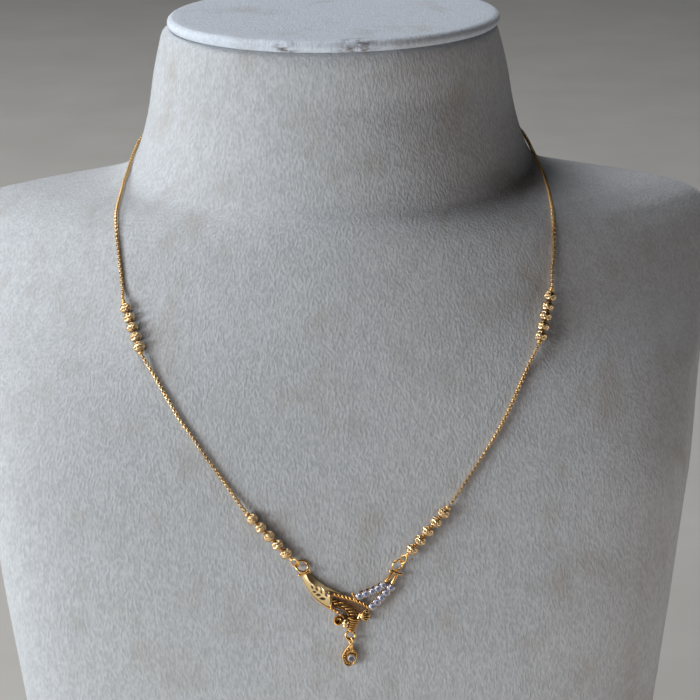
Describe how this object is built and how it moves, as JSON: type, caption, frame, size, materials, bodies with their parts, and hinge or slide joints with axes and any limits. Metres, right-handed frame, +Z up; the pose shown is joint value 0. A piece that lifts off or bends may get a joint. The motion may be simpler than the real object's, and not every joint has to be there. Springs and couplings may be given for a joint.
{
  "type": "short necklace on neck bust",
  "caption": "Short necklace of fine gold box chain with groups of cut balls and a V-shaped, stone-set pendant with a drop, lying on a plain velvet neck bust.",
  "frame": {"origin": "centre of the bust's flat base, on the surface that it stands on", "axes": "+Z up along the bust's height, -Y out of the chest that shows the pendant, +X towards the right of someone looking at the chest"},
  "size_m": [0.22, 0.1351, 0.2797],
  "materials": {
    "velvet": "short-pile grey velvet over a hard core",
    "gold_chain": "gold-plated, polished",
    "gold_bead": "gold-plated, with bright cuts",
    "gold_pendant": "gold-plated casting, satin and polished",
    "clear_stone": "cut and polished colourless stone"
  },
  "bodies": {
    "root": {"bust_body": "velvet", "neck_cap": "velvet", "clasp": "gold_chain", "chain_upper_left": "gold_chain", "chain_upper_right": "gold_chain", "chain_lower_left": "gold_chain", "chain_lower_right": "gold_chain", "bead_wire_upper_left": "gold_bead", "bead_wire_upper_right": "gold_bead", "bead_wire_lower_left": "gold_bead", "bead_wire_lower_right": "gold_bead", "bead_upper_left_1": "gold_bead", "bead_upper_left_2": "gold_bead", "bead_upper_left_3": "gold_bead", "bead_upper_left_4": "gold_bead", "bead_upper_left_5": "gold_bead", "bead_upper_right_1": "gold_bead", "bead_upper_right_2": "gold_bead", "bead_upper_right_3": "gold_bead", "bead_upper_right_4": "gold_bead", "bead_upper_right_5": "gold_bead", "bead_lower_left_1": "gold_bead", "bead_lower_left_2": "gold_bead", "bead_lower_left_3": "gold_bead", "bead_lower_left_4": "gold_bead", "bead_lower_left_5": "gold_bead", "bead_lower_right_1": "gold_bead", "bead_lower_right_2": "gold_bead", "bead_lower_right_3": "gold_bead", "bead_lower_right_4": "gold_bead", "bead_lower_right_5": "gold_bead", "pendant_frame": "gold_pendant", "stone_upper_1": "clear_stone", "stone_upper_2": "clear_stone", "stone_upper_3": "clear_stone", "stone_upper_4": "clear_stone", "stone_upper_5": "clear_stone", "stone_lower_1": "clear_stone", "stone_lower_2": "clear_stone", "stone_lower_3": "clear_stone", "stone_lower_4": "clear_stone", "stone_lower_5": "clear_stone", "pendant_drop": "gold_pendant", "drop_stone": "clear_stone"}
  },
  "joints": []
}
